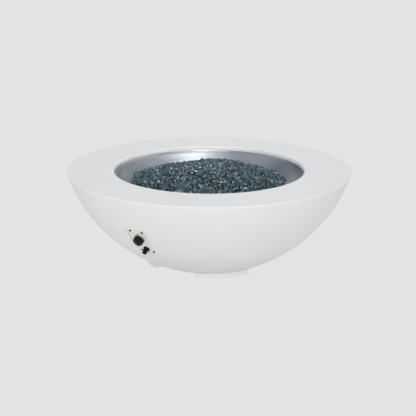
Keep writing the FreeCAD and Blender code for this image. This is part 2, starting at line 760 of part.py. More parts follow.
# ------------------------------------------------------------------ burner
burner = new_body("burner_ring")
ring_z = floor_in + s.ring_lift
hub_low = floor_in + 1.6
sk = sketch(burner, "XZ_Plane", "ring_tube")
circle(sk, s.ring_radius, ring_z, s.tube_radius)
revolve(burner, sk)
for plane in ("YZ_Plane", "XZ_Plane"):
    sk = sketch(burner, plane, "arm_tube")
    circle(sk, 0, ring_z, s.arm_radius)
    feature(burner, "Pad", sk, Length=s.ring_radius * 2, SideType="Symmetric")
sk = sketch(burner, "XZ_Plane", "hub_section")
outline(sk, [(0, s.nipple_low), (s.nipple_radius, s.nipple_low), (s.nipple_radius, hub_low),
             (s.hub_radius, hub_low), (s.hub_radius, hub_low + s.hub_tall - 2),
             (s.hub_radius - 2, hub_low + s.hub_tall), (0, hub_low + s.hub_tall)])
revolve(burner, sk)
sk = sketch(burner, "XZ_Plane", "ring_hollow")
circle(sk, s.ring_radius, ring_z, s.tube_radius - s.tube_wall)
groove(burner, sk)
for plane in ("YZ_Plane", "XZ_Plane"):
    sk = sketch(burner, plane, "arm_hollow")
    circle(sk, 0, ring_z, s.arm_radius - s.tube_wall)
    pocket_both(burner, sk, s.ring_radius * 2)
sk = sketch(burner, "XY_Plane", "hub_bore", (0, 0, s.nipple_low, 0, 0))
circle(sk, 0, 0, s.bore)
pocket(burner, sk, ring_z - s.nipple_low + 6, up=True)
sk = sketch(burner, "XY_Plane", "port", (0, 0, ring_z, 0, 0))
a = dim(180.0) / s.ports
circle(sk, s.ring_radius * trig("cos", a), s.ring_radius * trig("sin", a), s.port_radius)
pocket(burner, sk, 12, up=True)
polar(burner, [burner.Tip], s.ports)

washers = new_body("burner_washers")
for name, z, up in (("upper_washer", floor_in + 0.02, 1.55), ("lower_washer", s.pan_floor - 1.6, 1.55)):
    sk = sketch(washers, "XY_Plane", name, (0, 0, z, 0, 0))
    circle(sk, 0, 0, 22)
    circle(sk, 0, 0, s.nipple_radius + 0.1)
    pad(washers, sk, up)

locknut = new_body("burner_locknut")
sk = sketch(locknut, "XY_Plane", "locknut", (0, 0, s.pan_floor - 12, 0, 0))
hexagon(sk, 0, 0, 18.5)
circle(sk, 0, 0, s.nipple_radius + 0.05)
pad(locknut, sk, 10.3)

mixer = new_body("air_mixer")
sk = sketch(mixer, "XZ_Plane", "mixer_section")
mr, mt, ml = s.mixer_radius, s.mixer_top, s.mixer_low
outline(sk, [
    (s.bore, ml), (mr - 3, ml), (mr - 3, ml + 12), (mr, ml + 16), (mr, ml + 34), (mr - 2, ml + 38),
    (mr - 2, mt - 20), (mr + 1, mt - 18), (mr + 1, mt - 1), (mr, mt), (s.nipple_radius + 0.05, mt),
    (s.nipple_radius + 0.05, s.nipple_low - 0.5), (s.bore, s.nipple_low - 0.5),
])
revolve(mixer, sk)
for plane in ("YZ_Plane", "XZ_Plane"):
    sk = sketch(mixer, plane, "air_hole")
    circle(sk, 0, s.air_hole_z, s.air_hole)
    pocket_both(mixer, sk, 60)

jet = new_body("mixer_fitting")
sk = sketch(jet, "XZ_Plane", "jet_section")
outline(sk, [(3, s.jet_low), (5, s.jet_low), (7, s.jet_low + 2.5), (7, ml), (s.bore - 0.05, ml),
             (s.bore - 0.05, ml + 8), (0.8, ml + 8), (0.8, ml - 2), (3, ml - 2)])
revolve(jet, sk)
sk = sketch(jet, "XY_Plane", "jet_hex", (0, 0, ml - 11, 0, 0))
hexagon(sk, 0, 0, 11)
circle(sk, 0, 0, 6)
pad(jet, sk, 10.95)

# the hose's two flare nuts: one under the jet fitting, one on the valve's outlet
nuts = new_body("flex_nuts")
out_y = s.knob_y - 23
out_x = s.knob_x + s.outlet_x
nut_at = on_panel(out_x, out_y - 3, -s.outlet_depth)
spots = [((0, 0, ml - 12, 0, 180), "jet"), (tuple(nut_at) + (az, 270 - po), "valve")]
for where, name in spots:
    sk = sketch(nuts, "XY_Plane", name + "_nut", where)
    hexagon(sk, 0, 0, 10.4)
    pad(nuts, sk, 22)
for where, name in spots:
    sk = sketch(nuts, "XY_Plane", name + "_nut_bore", where)
    circle(sk, 0, 0, s.hose_radius + 0.05)
    pocket(nuts, sk, 22.5, up=True)
    sk = sketch(nuts, "XY_Plane", name + "_nut_socket", where)
    circle(sk, 0, 0, 7.05)
    pocket(nuts, sk, 13.2, up=True)

# ------------------------------------------------------------- pilot group
# Spark electrode and thermocouple side by side under a slotted hood, on the
# pan floor inside the burner ring.
pilot = (pilot_x, pilot_y, 0, az, 0)
bracket = new_body("pilot_bracket", pilot)
sk = sketch(bracket, "YZ_Plane", "bracket_profile")
bz = floor_in + 0.02
outline(sk, [(-10, bz), (10, bz), (10, bz + 1.2), (-8.8, bz + 1.2), (-8.8, bz + 30), (-10, bz + 30)])
feature(bracket, "Pad", sk, Length=dim(44), SideType="Symmetric")
sk = sketch(bracket, "XY_Plane", "bracket_holes", (0, 0, bz + 2, 0, 0))
circle(sk, s.probe_half, 0, 3.6)
circle(sk, -s.probe_half, 0, 3.1)
pocket(bracket, sk, 4)

electrode = new_body("spark_electrode", pilot)
sk = sketch(electrode, "XZ_Plane", "electrode_section")
ez = bz + 1.25
px = s.probe_half
outline(sk, [
    (px + 1.3, s.pan_floor - 14), (px + 3, s.pan_floor - 14), (px + 3.5, s.pan_floor - 13),
    (px + 3.5, ez), (px + 5.5, ez), (px + 5.5, ez + 4), (px + 3.5, ez + 4.6), (px + 3.5, ez + 24),
    (px + 2.4, ez + 28), (px + 1.3, ez + 28),
])
line = sk.addGeometry(Part.LineSegment(V(px.v, 200, 0), V(px.v, 300, 0)), True)
sk.addConstraint(Sketcher.Constraint("Vertical", line))
bind(sk, Sketcher.Constraint("DistanceX", -1, 1, line, 1, px.v), px.t)
feature(electrode, "Revolution", sk, ReferenceAxis=(sk, ["Axis0"]), Angle=dim(360))

rod = new_body("electrode_rod", pilot)
sk = sketch(rod, "XY_Plane", "rod_round", (0, 0, s.pan_floor - 20, 0, 0))
circle(sk, px, 0, 1.25)
pad(rod, sk, ez - s.pan_floor + 20 + 34)
sk = sketch(rod, "XZ_Plane", "rod_tip", (0, 0, -1.2, 0, 0))
circle(sk, px, ez + 32.6, 1.25)
pad(rod, sk, 12)

probe = new_body("thermocouple", pilot)
sk = sketch(probe, "XZ_Plane", "probe_section")
outline(sk, [
    (-px, s.pan_floor - 20), (-px + 1.5, s.pan_floor - 20), (-px + 2.9, s.pan_floor - 18),
    (-px + 2.9, ez), (-px + 5, ez), (-px + 5, ez + 4), (-px + 2.4, ez + 5), (-px + 2.4, ez + 30, 2.4),
    (-px, ez + 32.4),
])
line = sk.addGeometry(Part.LineSegment(V(-px.v, 200, 0), V(-px.v, 300, 0)), True)
sk.addConstraint(Sketcher.Constraint("Vertical", line))
bind(sk, Sketcher.Constraint("DistanceX", -1, 1, line, 1, -px.v), (-px).t)
feature(probe, "Revolution", sk, ReferenceAxis=(sk, ["Axis0"]), Angle=dim(360))

hood = new_body("pilot_hood", pilot)
sk = sketch(hood, "XY_Plane", "hood_outline", (0, 0, bz, 0, 0))
round_rect(sk, s.hood_long / -2, s.hood_wide / -2, s.hood_long / 2, s.hood_wide / 2, 4)
pad(hood, sk, s.hood_tall)
sk = sketch(hood, "XY_Plane", "hood_hollow", (0, 0, bz, 0, 0))
round_rect(sk, s.hood_long / -2 + 1, s.hood_wide / -2 + 1, s.hood_long / 2 - 1,
           s.hood_wide / 2 - 1, 3)
pocket(hood, sk, s.hood_tall - 1, up=True)
sk = sketch(hood, "XZ_Plane", "hood_slots")
for k in range(-2, 3):
    round_rect(sk, 11 * k - 2, bz + 12, 11 * k + 2, bz + 38, 1.8)
pocket_both(hood, sk, s.hood_wide + 4)

# ------------------------------------------------------------- fire glass
# The heap of crushed glass as one solid: it fills the pan up to the contact
# line on its slope, domed in the middle, and leaves out what is buried in it.
glass = new_body("fire_glass")
gap = s.glass_gap
gz = floor_in + gap
gc = s.glass_contact
gcz = cone_in(gc) + gap
crown = s.glass_top - gcz
dome_r = (gc * gc + crown * crown) / (crown * 2)
sk = sketch(glass, "XZ_Plane", "glass_section")
outline(sk, [(0, gz), (rf_in, gz), (gc, gcz, dome_r), (0, s.glass_top)])
revolve(glass, sk)
sk = sketch(glass, "XZ_Plane", "glass_ring_room")
circle(sk, s.ring_radius, ring_z, s.tube_radius + 1)
groove(glass, sk)
sk = sketch(glass, "XZ_Plane", "glass_hub_room")
outline(sk, [(0, gz - 2), (s.hub_radius + 3, gz - 2), (s.hub_radius + 3, hub_low + s.hub_tall + 1),
             (0, hub_low + s.hub_tall + 1)])
groove(glass, sk)
for plane in ("YZ_Plane", "XZ_Plane"):
    sk = sketch(glass, plane, "glass_arm_room")
    circle(sk, 0, ring_z, s.arm_radius + 1)
    pocket_both(glass, sk, s.ring_radius * 2)
sk = sketch(glass, "XY_Plane", "glass_hood_room", (pilot_x, pilot_y, gz - 2, az, 0))
round_rect(sk, s.hood_long / -2 - 1, s.hood_wide / -2 - 1, s.hood_long / 2 + 1,
           s.hood_wide / 2 + 1, 4)
pocket(glass, sk, s.hood_tall + 3, up=True)


# ------------------------------------------------------------ hose and leads
def tube(label, points, radius):
    """Straight runs joined by tangent arcs; each arc's radius is 0.45 of its
    shorter run over the tangent of half the turn."""
    radius = dim(radius).v
    p = [V(*[dim(q).v for q in pt]) for pt in points]
    joints = []
    for i in range(1, len(p) - 1):
        a, b = p[i - 1] - p[i], p[i + 1] - p[i]
        la, lb = a.Length, b.Length
        a.normalize()
        b.normalize()
        turn = math.pi - a.getAngle(b)
        tangent = 0.45 * min(la, lb)
        joints.append((p[i] + a * tangent, p[i], p[i] + b * tangent, tangent / math.tan(turn / 2), turn))
    shapes = []
    at = p[0]
    for start, corner, end, r, turn in joints:
        shapes.append(Part.LineSegment(at, start).toShape())
        mid_dir = ((start + end) * 0.5 - corner)
        mid_dir.normalize()
        reach = r / math.cos(turn / 2) - r
        shapes.append(Part.Arc(start, corner + mid_dir * reach, end).toShape())
        at = end
    shapes.append(Part.LineSegment(at, p[-1]).toShape())
    wire = Part.Wire(shapes)
    first = (p[1] - p[0])
    ring = Part.Wire(Part.Circle(p[0], first, radius).toShape())
    solid = wire.makePipeShell([ring], True, False)
    want = math.pi * radius ** 2 * wire.Length
    print("%s: length %.1f, radii %s, volume ratio %.4f" % (
        label, wire.Length, ["%.1f" % j[3] for j in joints], solid.Volume / want))
    print("   turns %s runs %s" % (["%.0f" % math.degrees(j[4]) for j in joints],
                                   ["%.0f" % (p[i + 1] - p[i]).Length for i in range(len(p) - 1)]))
    f = doc.addObject("Part::Feature", label + "_tube")
    f.Shape = solid
    return keep(f, label)


def away(point, direction, length):
    return [dim(point[i]) + direction[i] * length for i in range(3)]


minus_n = [-en[i] for i in range(3)]
minus_y = [-ey[i] for i in range(3)]
minus_x = [-ex[i] for i in range(3)]

h0 = on_panel(out_x, out_y - 3 - 13.3, -s.outlet_depth)
hose = [h0, away(h0, minus_y, 60), (-160, -222, 100), (-92, -129, 62), (-26.2, -36.9, 59.7),
        (0, 0, 105), (0, 0, ml - 12 - 13.3)]
tube("gas_flex_line", hose, s.hose_radius)

l0 = on_panel(s.igniter_x, s.igniter_y, -s.barrel_long - 6.05)
end_x = pilot_x + s.probe_half * ca
end_y = pilot_y + s.probe_half * sa
lead = [l0, away(l0, minus_n, 55), (-125, -205, 235), (-95, -150, 215), (-66, -116, 205),
        (end_x, end_y, 222), (end_x, end_y, s.pan_floor - 20.05)]
tube("ignition_lead", lead, s.lead_radius)

t0 = on_panel(s.knob_x - 32.05, s.knob_y + 9, -26)
te_x = pilot_x - s.probe_half * ca
te_y = pilot_y - s.probe_half * sa
capillary = [t0, away(t0, minus_x, 28), (-290, -298, 238), (-267.5, -255.5, 250.5),
             (-225, -212, 255), (-180, -172, 250), (-135, -135, 240), (-95, -101, 218),
             (te_x, te_y, 224), (te_x, te_y, s.pan_floor - 20.05)]
tube("thermocouple_lead", capillary, s.capillary_radius)

# ------------------------------------------------------------------- output
doc.recompute()
bad = []
for o in doc.Objects:
    if "Invalid" in o.State or "Error" in o.State:
        bad.append("%s (%s): %s" % (o.Name, o.Label, o.State))
for o in NODES:
    if o.Shape.isNull() or not o.Shape.isValid() or not o.Shape.Solids:
        bad.append("shape of " + o.Label)
if bad:
    raise RuntimeError("failed: " + "; ".join(bad))
labels = [o.Label for o in NODES]
assert len(set(labels)) == len(labels)
os.makedirs("parts", exist_ok=True)
for name in os.listdir("parts"):
    if name.endswith(".step") and name[:-5] not in labels:
        os.remove(os.path.join("parts", name))
for o in NODES:
    o.Shape.exportStep(os.path.join("parts", o.Label + ".step"))
    b = o.Shape.BoundBox
    print("%-18s solids %d  vol %.0f  x %.1f %.1f  y %.1f %.1f  z %.1f %.1f" % (
        o.Label, len(o.Shape.Solids), o.Shape.Volume, b.XMin, b.XMax, b.YMin, b.YMax, b.ZMin, b.ZMax))
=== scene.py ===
import json
import math
import random

import bmesh
import bpy
import numpy as np
from mathutils import Matrix, Vector
from mathutils.kdtree import KDTree


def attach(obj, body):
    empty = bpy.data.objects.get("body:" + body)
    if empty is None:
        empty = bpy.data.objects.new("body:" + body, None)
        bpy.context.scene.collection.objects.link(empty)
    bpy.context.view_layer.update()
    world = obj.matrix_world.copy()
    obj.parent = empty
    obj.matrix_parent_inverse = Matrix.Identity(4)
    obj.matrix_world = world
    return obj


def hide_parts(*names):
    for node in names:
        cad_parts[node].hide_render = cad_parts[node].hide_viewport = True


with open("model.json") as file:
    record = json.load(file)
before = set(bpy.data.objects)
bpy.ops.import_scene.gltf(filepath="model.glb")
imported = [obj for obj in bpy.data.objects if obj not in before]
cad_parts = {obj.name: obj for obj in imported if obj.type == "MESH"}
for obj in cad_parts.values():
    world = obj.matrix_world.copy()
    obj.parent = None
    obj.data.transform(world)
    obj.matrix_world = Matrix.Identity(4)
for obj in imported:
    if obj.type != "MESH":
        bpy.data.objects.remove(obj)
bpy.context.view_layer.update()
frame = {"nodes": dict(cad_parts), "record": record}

# Gas fire pit bowl. Metres, +Z up, the ground at z = 0, the front towards -Y.

scene = bpy.context.scene
NODES = frame["nodes"]


# -------------------------------------------------------------------- camera
def make_camera():
    data = bpy.data.cameras.new("camera")
    data.sensor_width = 36.0
    data.lens = 95.84
    data.clip_start, data.clip_end = 0.05, 200.0
    cam = bpy.data.objects.new("camera", data)
    scene.collection.objects.link(cam)
    turn = (Matrix.Rotation(math.radians(0.051), 4, "Z")
            @ Matrix.Rotation(math.radians(90 - 16.30), 4, "X")
            @ Matrix.Rotation(math.radians(0.18), 4, "Z"))
    cam.matrix_world = Matrix.Translation((0.0, -4.059, 1.390)) @ turn
    scene.camera = cam


make_camera()
scene.view_settings.view_transform = "Standard"
scene.view_settings.look = "None"


# --------------------------------------------------------- node tree helpers
class Tree:
    """Short names for building a node tree."""

    def __init__(self, tree):
        self.t = tree

    def node(self, kind, **props):
        n = self.t.nodes.new(kind)
        for k, v in props.items():
            setattr(n, k, v)
        return n

    def put(self, node, socket, value):
        s = node.inputs[socket]
        if hasattr(value, "is_linked"):
            self.t.links.new(value, s)
        elif value is not None:
            s.default_value = value

    def math(self, op, a, b=None, c=None, clamp=False):
        n = self.node("ShaderNodeMath", operation=op, use_clamp=clamp)
        for i, v in enumerate((a, b, c)):
            self.put(n, i, v)
        return n.outputs[0]

    def vmath(self, op, a, b=None):
        n = self.node("ShaderNodeVectorMath", operation=op)
        self.put(n, 0, a)
        self.put(n, 1, b)
        return n.outputs["Value" if op in ("LENGTH", "DOT_PRODUCT", "DISTANCE") else "Vector"]

    def place(self):
        return self.node("ShaderNodeTexCoord").outputs["Object"]

    def split(self, v):
        n = self.node("ShaderNodeSeparateXYZ")
        self.put(n, 0, v)
        return n.outputs

    def join(self, x, y, z):
        n = self.node("ShaderNodeCombineXYZ")
        for i, v in enumerate((x, y, z)):
            self.put(n, i, v)
        return n.outputs[0]

    def scaled(self, v, s):
        n = self.node("ShaderNodeVectorMath", operation="MULTIPLY")
        self.put(n, 0, v)
        self.put(n, 1, s)
        return n.outputs[0]

    def noise(self, v, scale, detail=3.0, rough=0.55, warp=0.0):
        n = self.node("ShaderNodeTexNoise")
        self.put(n, "Vector", v)
        self.put(n, "Scale", scale)
        self.put(n, "Detail", detail)
        self.put(n, "Roughness", rough)
        self.put(n, "Distortion", warp)
        return n.outputs["Fac"]

    def cells(self, v, scale, feature="F1", out="Distance", randomness=1.0):
        n = self.node("ShaderNodeTexVoronoi", feature=feature)
        self.put(n, "Vector", v)
        self.put(n, "Scale", scale)
        self.put(n, "Randomness", randomness)
        return n.outputs[out]

    def span(self, v, a, b, lo=0.0, hi=1.0, smooth=False):
        n = self.node("ShaderNodeMapRange", clamp=True,
                      interpolation_type="SMOOTHSTEP" if smooth else "LINEAR")
        for k, q in (("Value", v), ("From Min", a), ("From Max", b), ("To Min", lo), ("To Max", hi)):
            self.put(n, k, q)
        return n.outputs[0]

    def blend(self, fac, a, b, mode="MIX"):
        n = self.node("ShaderNodeMix", data_type="RGBA", blend_type=mode)
        self.put(n, "Factor", fac)
        for s, q in ((n.inputs[6], a), (n.inputs[7], b)):
            if hasattr(q, "is_linked"):
                self.t.links.new(q, s)
            else:
                s.default_value = (*q, 1.0) if len(q) == 3 else q
        return n.outputs[2]

    def bump(self, height, distance, strength=1.0, below=None):
        n = self.node("ShaderNodeBump")
        self.put(n, "Strength", strength)
        self.put(n, "Distance", distance)
        self.put(n, "Height", height)
        if below is not None:
            self.put(n, "Normal", below)
        return n.outputs[0]


def surface(name, **fixed):
    """A material with one Principled shader. fixed are sockets that are the same all over."""
    mat = bpy.data.materials.new(name)
    mat.use_nodes = True
    t = Tree(mat.node_tree)
    shader = mat.node_tree.nodes["Principled BSDF"]
    for k, v in fixed.items():
        shader.inputs[k.replace("_", " ")].default_value = v
    return mat, t, shader


# ----------------------------------------------------------------- materials
def concrete(name, low, high, tint, floor_shade):
    """Fine cast concrete: cloudy tone, faint level lines of the pour, grain,
    sparse pin holes and a few larger bug holes, all shallow. floor_shade is how much
    painted shade darkens it low down."""
    mat, t, sh = surface(name, Specular_IOR_Level=0.28)
    p = t.place()
    cloud = t.noise(p, 5.5, 4.0, 0.5, 0.4)
    patch = t.noise(p, 38.0, 4.0, 0.6, 0.2)
    pour = t.noise(t.scaled(p, (1.2, 1.2, 34.0)), 1.0, 3.0, 0.5)
    tone = t.math("ADD", t.math("MULTIPLY", cloud, 0.55),
                  t.math("ADD", t.math("MULTIPLY", patch, 0.25), t.math("MULTIPLY", pour, 0.20)))
    tone = t.span(tone, 0.36, 0.64, 0.0, 1.0)
    color = t.blend(tone, low, high)
    grain = t.noise(p, 1100.0, 2.0, 0.6)
    speck = t.noise(p, 420.0, 2.0, 0.5)
    color = t.blend(t.span(grain, 0.35, 0.75, 0.0, 0.10), color, tint)
    # pin holes: only some cells of the grid hold one
    near = t.cells(p, 95.0)
    chosen = t.split(t.cells(p, 95.0, out="Color"))[0]
    size = t.span(chosen, 0.84, 1.0, 0.0, 0.085)
    pin = t.span(t.math("SUBTRACT", size, near), 0.0, 0.045, 0.0, 1.0, smooth=True)
    near2 = t.cells(t.vmath("ADD", p, (3.1, 1.7, 0.4)), 22.0)
    chosen2 = t.split(t.cells(t.vmath("ADD", p, (3.1, 1.7, 0.4)), 22.0, out="Color"))[1]
    size2 = t.span(chosen2, 0.90, 1.0, 0.0, 0.036)
    hole = t.span(t.math("SUBTRACT", size2, near2), 0.0, 0.02, 0.0, 1.0, smooth=True)
    pits = t.math("MAXIMUM", pin, hole)
    # painted shade: the pits are also darkened in colour where shade falls inside them, besides being sunk by the bump
    color = t.blend(t.math("MULTIPLY", pits, 0.42), color, (0.36, 0.355, 0.34))
    # painted shade: a little darker and warmer low down, standing in for the floor's shadow
    x, y, z = t.split(p)
    floor_shade_mask = t.span(z, 0.02, 0.17, floor_shade, 0.0, smooth=True)
    color = t.blend(floor_shade_mask, color, t.blend(1.0, color, (0.865, 0.855, 0.84), "MULTIPLY"))
    # painted light: the wall of the mouth is made paler, most at the left and darker and bluer to the right, standing
    # in for the light falling on it
    r = t.vmath("LENGTH", t.join(x, y, 0.0))
    mouth_light = t.math("MULTIPLY", t.span(r, 0.3600, 0.3645, 1.0, 0.0, smooth=True), t.span(z, 0.330, 0.336))
    wall = t.blend(t.span(x, 0.02, 0.24, smooth=True), (1.165, 1.16, 1.15), (0.90, 0.94, 0.985))
    color = t.blend(mouth_light, color, t.blend(1.0, color, wall, "MULTIPLY"))
    t.put(sh, "Base Color", color)
    t.put(sh, "Roughness", t.math("ADD", t.span(patch, 0.3, 0.7, 0.66, 0.82),
                                  t.span(speck, 0.3, 0.7, -0.05, 0.05)))
    height = t.math("ADD", t.math("MULTIPLY", grain, 0.10), t.math("MULTIPLY", speck, 0.18))
    height = t.math("ADD", height, t.math("MULTIPLY", patch, 0.55))
    height = t.math("SUBTRACT", height, t.math("MULTIPLY", pits, 1.6))
    t.put(sh, "Normal", t.bump(height, 0.0004, 0.55))
    return mat


def pan_steel():
    """Spun satin stainless steel: fine rings, a soft cross grain and faint heat tone.
    The rings draw a highlight out along the radius, so the rough axis lies across them."""
    mat, t, sh = surface("pan_steel_look", Metallic=1.0, Anisotropic=1.0, Anisotropic_Rotation=0.25)
    p = t.place()
    x, y, z = t.split(p)
    r = t.vmath("LENGTH", t.join(x, y, 0.0))
    rings = t.noise(t.join(t.math("MULTIPLY", r, 900.0), t.math("MULTIPLY", z, 900.0), 0.0), 1.0, 2.0, 0.7)
    wide = t.noise(t.join(t.math("MULTIPLY", r, 60.0), t.math("MULTIPLY", x, 2.0),
                          t.math("MULTIPLY", y, 2.0)), 1.0, 3.0, 0.5)
    cloud = t.noise(p, 9.0, 3.0, 0.5)
    color = t.blend(t.span(cloud, 0.3, 0.7), (0.392, 0.420, 0.458), (0.442, 0.470, 0.508))
    color = t.blend(t.span(rings, 0.35, 0.65, 0.0, 0.22), color, (0.33, 0.35, 0.38))
    # the upturned lip is a little smoother than the spun cone; its colour is painted light, brighter at the left and
    # darker to the right, with a painted highlight where the light's column runs up it
    lip = t.span(z, 0.3388, 0.3408, smooth=True)
    edge = t.blend(t.span(x, -0.05, 0.20, smooth=True), (0.56, 0.575, 0.595), (0.41, 0.43, 0.455))
    # painted highlight: a pale patch on the lip where the light's column runs up it
    lip_glint = t.span(t.math("ABSOLUTE", t.math("ADD", x, 0.070)), 0.015, 0.120, 1.0, 0.0, smooth=True)
    edge = t.blend(lip_glint, edge, (0.97, 0.97, 0.975))
    color = t.blend(t.span(z, 0.3382, 0.3404, smooth=True), color, edge)
    # painted shade: darker near both ends of the pan, left and right, where its side lies in shade
    side_shade = t.span(t.math("ABSOLUTE", t.math("ADD", x, 0.004)), 0.322, 0.342, smooth=True)
    color = t.blend(t.math("MULTIPLY", side_shade, 0.8), color, t.blend(1.0, color, (0.66, 0.63, 0.62), "MULTIPLY"))
    t.put(sh, "Base Color", color)
    rough = t.math("ADD", t.span(wide, 0.3, 0.7, 0.38, 0.44), t.span(rings, 0.3, 0.7, -0.03, 0.03))
    t.put(sh, "Roughness", t.math("SUBTRACT", rough, t.math("MULTIPLY", lip, 0.04)))
    tangent = t.node("ShaderNodeTangent", direction_type="RADIAL", axis="Z")
    t.put(sh, "Tangent", tangent.outputs[0])
    t.put(sh, "Normal", t.bump(rings, 0.00006, 0.25))
    return mat


def metal(name, low, high, rough=(0.26, 0.38), grain=(1.0, 1.0, 1.0), scale=260.0, bump=0.00005):
    mat, t, sh = surface(name, Metallic=1.0)
    p = t.place()
    fine = t.noise(t.scaled(p, grain), scale, 3.0, 0.6)
    stain = t.noise(p, 34.0, 4.0, 0.6, 0.5)
    color = t.blend(t.span(stain, 0.32, 0.68), low, high)
    color = t.blend(t.span(fine, 0.35, 0.65, 0.0, 0.25), color, tuple(0.7 * c for c in low))
    t.put(sh, "Base Color", color)
    t.put(sh, "Roughness", t.math("ADD", t.span(stain, 0.3, 0.7, rough[0], rough[1]),
                                  t.span(fine, 0.3, 0.7, -0.04, 0.04)))
    t.put(sh, "Normal", t.bump(fine, bump, 0.4))
    return mat


def coat(name, low, high, rough=(0.42, 0.52), peel=420.0, depth=0.00006, spec=0.5):
    """Powder coat or moulded plastic: an even tone with orange-peel or spark texture."""
    mat, t, sh = surface(name, Specular_IOR_Level=spec)
    p = t.place()
    tone = t.noise(p, 60.0, 4.0, 0.6, 0.3)
    fine = t.noise(p, peel, 2.0, 0.5)
    grit = t.noise(p, peel * 4, 1.0, 0.5)
    t.put(sh, "Base Color", t.blend(t.span(tone, 0.3, 0.7), low, high))
    t.put(sh, "Roughness", t.math("ADD", t.span(tone, 0.3, 0.7, rough[0], rough[1]),
                                  t.span(grit, 0.3, 0.7, -0.04, 0.04)))
    height = t.math("ADD", t.math("MULTIPLY", fine, 0.7), t.math("MULTIPLY", grit, 0.3))
    t.put(sh, "Normal", t.bump(height, depth, 0.5))
    return mat


def fibre(name):
    """Woven ceramic fibre tape."""
    mat, t, sh = surface(name, Specular_IOR_Level=0.2)
    p = t.place()
    x, y, z = t.split(p)
    r = t.vmath("LENGTH", t.join(x, y, 0.0))
    a = t.math("ARCTAN2", y, x)
    w1 = t.math("SINE", t.math("MULTIPLY", a, 1100.0))
    w2 = t.math("SINE", t.math("MULTIPLY", r, 3200.0))
    weave = t.math("MULTIPLY", w1, w2)
    fuzz = t.noise(p, 900.0, 3.0, 0.7)
    t.put(sh, "Base Color", t.blend(t.span(weave, -1.0, 1.0), (0.55, 0.53, 0.47), (0.76, 0.74, 0.68)))
    t.put(sh, "Roughness", t.span(fuzz, 0.3, 0.7, 0.85, 0.97))
    t.put(sh, "Normal", t.bump(t.math("ADD", weave, fuzz), 0.0003, 0.6))
    return mat


def chip_glass():
    """Crushed reflective tempered glass: tone and clearness differ from piece to
    piece. Each face of a piece gets its own tone, painted reflection standing in for the light each face catches, and
    the palest faces are painted glints."""
    mat, t, sh = surface("chip_glass", IOR=1.58, Specular_Tint=(0.74, 0.93, 1.0, 1.0))
    tag = t.node("ShaderNodeAttribute", attribute_name="chip").outputs["Color"]
    c = t.node("ShaderNodeSeparateColor")
    t.put(c, 0, tag)
    one, two, three = c.outputs
    face = t.node("ShaderNodeAttribute", attribute_name="facet").outputs["Fac"]
    p = t.place()
    vein = t.noise(p, 130.0, 2.0, 0.6, 0.6)
    fine = t.noise(p, 700.0, 2.0, 0.6)
    # painted reflection: each piece's tone is mixed with a random tone per face, standing in for the light each face
    # catches
    tone = t.math("ADD", t.math("MULTIPLY", one, 0.45), t.math("MULTIPLY", face, 0.55))
    body = t.blend(t.span(tone, 0.26, 0.78), (0.001, 0.003, 0.006), (0.097, 0.188, 0.227))
    # painted highlight: some faces are made pale, as glints
    body = t.blend(t.span(face, 0.80, 0.96, 0.0, 0.85), body, (0.37, 0.48, 0.525))
    body = t.blend(t.span(three, 0.95, 1.0, 0.0, 0.5), body, (0.090, 0.066, 0.062))
    body = t.blend(t.span(vein, 0.45, 0.7, 0.0, 0.40), body, (0.010, 0.034, 0.048))
    # the pieces are paler towards the crown of the heap
    crown_pale = t.span(t.split(p)[2], 0.352, 0.372, 0.0, 0.9, smooth=True)
    body = t.blend(crown_pale, body, t.blend(1.0, body, (2.05, 1.84, 1.76), "MULTIPLY"))
    t.put(sh, "Base Color", body)
    t.put(sh, "Roughness", t.span(t.math("ADD", two, t.math("MULTIPLY", fine, 0.6)), 0.3, 1.3, 0.24, 0.40))
    t.put(sh, "Transmission Weight", t.span(three, 0.0, 1.0, 0.06, 0.36))
    t.put(sh, "Normal", t.bump(fine, 0.00015, 0.25))
    return mat


def bed_glass():
    """The dark mass of glass between and under the top pieces."""
    mat, t, sh = surface("bed_glass", IOR=1.5)
    p = t.place()
    n = t.cells(p, 110.0)
    v = t.noise(p, 300.0, 3.0, 0.6)
    t.put(sh, "Base Color", t.blend(t.span(n, 0.1, 0.6), (0.008, 0.018, 0.024), (0.022, 0.045, 0.056)))
    t.put(sh, "Roughness", t.span(v, 0.3, 0.7, 0.25, 0.5))
    t.put(sh, "Normal", t.bump(n, 0.003, 0.8))
    return mat


